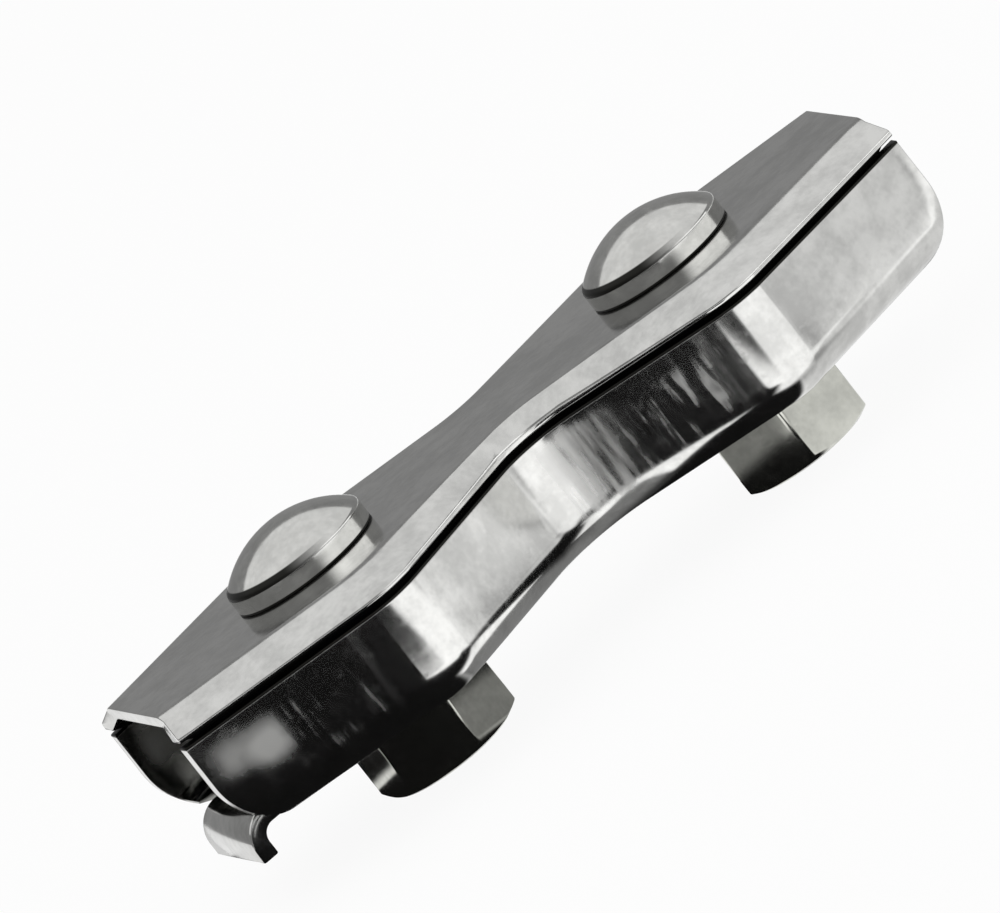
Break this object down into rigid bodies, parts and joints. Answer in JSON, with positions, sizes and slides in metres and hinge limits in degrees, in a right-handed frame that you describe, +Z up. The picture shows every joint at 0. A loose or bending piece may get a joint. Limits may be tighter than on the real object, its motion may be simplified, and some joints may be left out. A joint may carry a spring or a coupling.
{
  "type": "wire rope plate clamp",
  "caption": "Stainless plate clamp for joining parallel runs of wire rope: a wavy pressed cover drawn onto a deep channel by dome-headed bolts with hexagon nuts below.",
  "frame": {"origin": "midway between the two bolts, level with the lower faces of the nuts", "axes": "+X along the rope, away from the lipped end; +Y across the clamp; +Z up, from the nuts to the bolt heads"},
  "size_m": [0.052, 0.0248, 0.0164],
  "materials": {
    "cover_steel": "tumbled bright sheet steel",
    "channel_steel": "tumbled bright sheet steel",
    "bolt_steel": "bright cold-formed steel",
    "nut_steel": "bright cold-formed steel"
  },
  "bodies": {
    "cover": {"cover_plate": "cover_steel", "bolt_left": "bolt_steel", "bolt_right": "bolt_steel"},
    "channel": {"channel_plate": "channel_steel"},
    "left_nut": {"nut_left": "nut_steel"},
    "right_nut": {"nut_right": "nut_steel"}
  },
  "joints": [
    {"name": "channel_travel", "type": "slide", "parent": "cover", "child": "channel", "axis": [0, 0, 1], "range_m": [-0.003, 0.0003]},
    {"name": "left_nut_turn", "type": "hinge", "parent": "channel", "child": "left_nut", "pos_m": [-0.013, 0, 0.00235], "axis": [0, 0, 1], "range_deg": [-1351, 136]},
    {"name": "right_nut_turn", "type": "hinge", "parent": "channel", "child": "right_nut", "pos_m": [0.013, 0, 0.00235], "axis": [0, 0, 1], "range_deg": [-1351, 136]}
  ],
  "couplings": [
    {"joint": "left_nut_turn", "follows": "channel_travel", "rad_per_m": 7854},
    {"joint": "right_nut_turn", "follows": "channel_travel", "rad_per_m": 7854}
  ]
}
